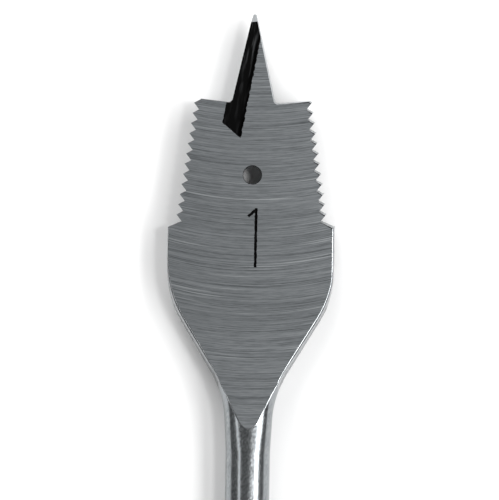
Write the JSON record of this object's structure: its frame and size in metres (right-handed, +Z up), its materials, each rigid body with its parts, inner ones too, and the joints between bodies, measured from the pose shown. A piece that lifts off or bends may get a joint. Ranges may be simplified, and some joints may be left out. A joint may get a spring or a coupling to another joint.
{
  "type": "spade drill bit",
  "caption": "Flat spade drill bit with a long centre point, a tapered thread along both flanks of the blade, a small round hole and a hex drive shank.",
  "frame": {"origin": "centre of the bit's box on the surface that it lies on", "axes": "+Y along the bit toward its point, +X across the blade to the right of the marked face, +Z up"},
  "size_m": [0.0254, 0.1588, 0.0071],
  "materials": {
    "tool_steel": "ground and polished steel, dark in the gullets"
  },
  "bodies": {
    "root": {"spade_bit": "tool_steel"}
  },
  "joints": []
}
